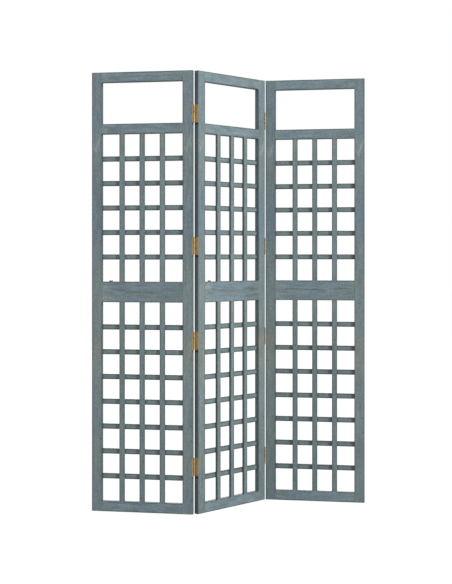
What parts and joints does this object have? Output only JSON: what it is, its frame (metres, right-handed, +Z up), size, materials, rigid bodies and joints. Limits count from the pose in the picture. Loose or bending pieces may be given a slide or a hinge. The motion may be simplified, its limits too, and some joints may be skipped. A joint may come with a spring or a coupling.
{
  "type": "folding trellis screen",
  "caption": "Free-standing folding wooden screen: hinged zigzag panels, each a stile-and-rail frame with an open top light over a square lattice of lapped bars.",
  "frame": {"origin": "on the floor under the centre of the middle panel, which is the centre of the screen's plan as it stands in the picture", "axes": "+Z up; the front seen in the picture faces -Y; the outer panels run along X and the middle panel runs right and away from the front"},
  "size_m": [1.0254, 0.3756, 1.7],
  "materials": {
    "stained_wood": "blue-grey stain, matt, grain showing",
    "hinge_brass": "brass plating, satin, slightly dulled",
    "screw_brass": "brass plating, satin"
  },
  "bodies": {
    "middle_panel": {"left_fold_hinge_1_middle_leaf": "hinge_brass", "left_fold_hinge_1_pin": "hinge_brass", "left_fold_hinge_2_middle_leaf": "hinge_brass", "left_fold_hinge_2_pin": "hinge_brass", "left_fold_hinge_3_middle_leaf": "hinge_brass", "left_fold_hinge_3_pin": "hinge_brass", "left_fold_hinge_4_middle_leaf": "hinge_brass", "left_fold_hinge_4_pin": "hinge_brass", "left_fold_middle_screws": "screw_brass", "middle_panel_bottom_rail": "stained_wood", "middle_panel_left_stile": "stained_wood", "middle_panel_lower_crossbars": "stained_wood", "middle_panel_lower_uprights": "stained_wood", "middle_panel_middle_rail": "stained_wood", "middle_panel_right_stile": "stained_wood", "middle_panel_top_rail": "stained_wood", "middle_panel_upper_crossbars": "stained_wood", "middle_panel_upper_rail": "stained_wood", "middle_panel_upper_uprights": "stained_wood", "right_fold_hinge_1_middle_leaf": "hinge_brass", "right_fold_hinge_1_pin": "hinge_brass", "right_fold_hinge_2_middle_leaf": "hinge_brass", "right_fold_hinge_2_pin": "hinge_brass", "right_fold_hinge_3_middle_leaf": "hinge_brass", "right_fold_hinge_3_pin": "hinge_brass", "right_fold_hinge_4_middle_leaf": "hinge_brass", "right_fold_hinge_4_pin": "hinge_brass", "right_fold_middle_screws": "screw_brass"},
    "left_panel": {"left_fold_hinge_1_outer_leaf": "hinge_brass", "left_fold_hinge_2_outer_leaf": "hinge_brass", "left_fold_hinge_3_outer_leaf": "hinge_brass", "left_fold_hinge_4_outer_leaf": "hinge_brass", "left_fold_left_screws": "screw_brass", "left_panel_bottom_rail": "stained_wood", "left_panel_left_stile": "stained_wood", "left_panel_lower_crossbars": "stained_wood", "left_panel_lower_uprights": "stained_wood", "left_panel_middle_rail": "stained_wood", "left_panel_right_stile": "stained_wood", "left_panel_top_rail": "stained_wood", "left_panel_upper_crossbars": "stained_wood", "left_panel_upper_rail": "stained_wood", "left_panel_upper_uprights": "stained_wood"},
    "right_panel": {"right_fold_hinge_1_outer_leaf": "hinge_brass", "right_fold_hinge_2_outer_leaf": "hinge_brass", "right_fold_hinge_3_outer_leaf": "hinge_brass", "right_fold_hinge_4_outer_leaf": "hinge_brass", "right_fold_right_screws": "screw_brass", "right_panel_bottom_rail": "stained_wood", "right_panel_left_stile": "stained_wood", "right_panel_lower_crossbars": "stained_wood", "right_panel_lower_uprights": "stained_wood", "right_panel_middle_rail": "stained_wood", "right_panel_right_stile": "stained_wood", "right_panel_top_rail": "stained_wood", "right_panel_upper_crossbars": "stained_wood", "right_panel_upper_rail": "stained_wood", "right_panel_upper_uprights": "stained_wood"}
  },
  "joints": [
    {"name": "left_fold", "type": "hinge", "parent": "middle_panel", "child": "left_panel", "pos_m": [-0.11118, -0.16835, 0.858], "axis": [0, 0, -1], "range_deg": [-59.4, 120.6]},
    {"name": "right_fold", "type": "hinge", "parent": "middle_panel", "child": "right_panel", "pos_m": [0.11118, 0.16835, 0.858], "axis": [0, 0, -1], "range_deg": [-59.4, 120.6]}
  ]
}
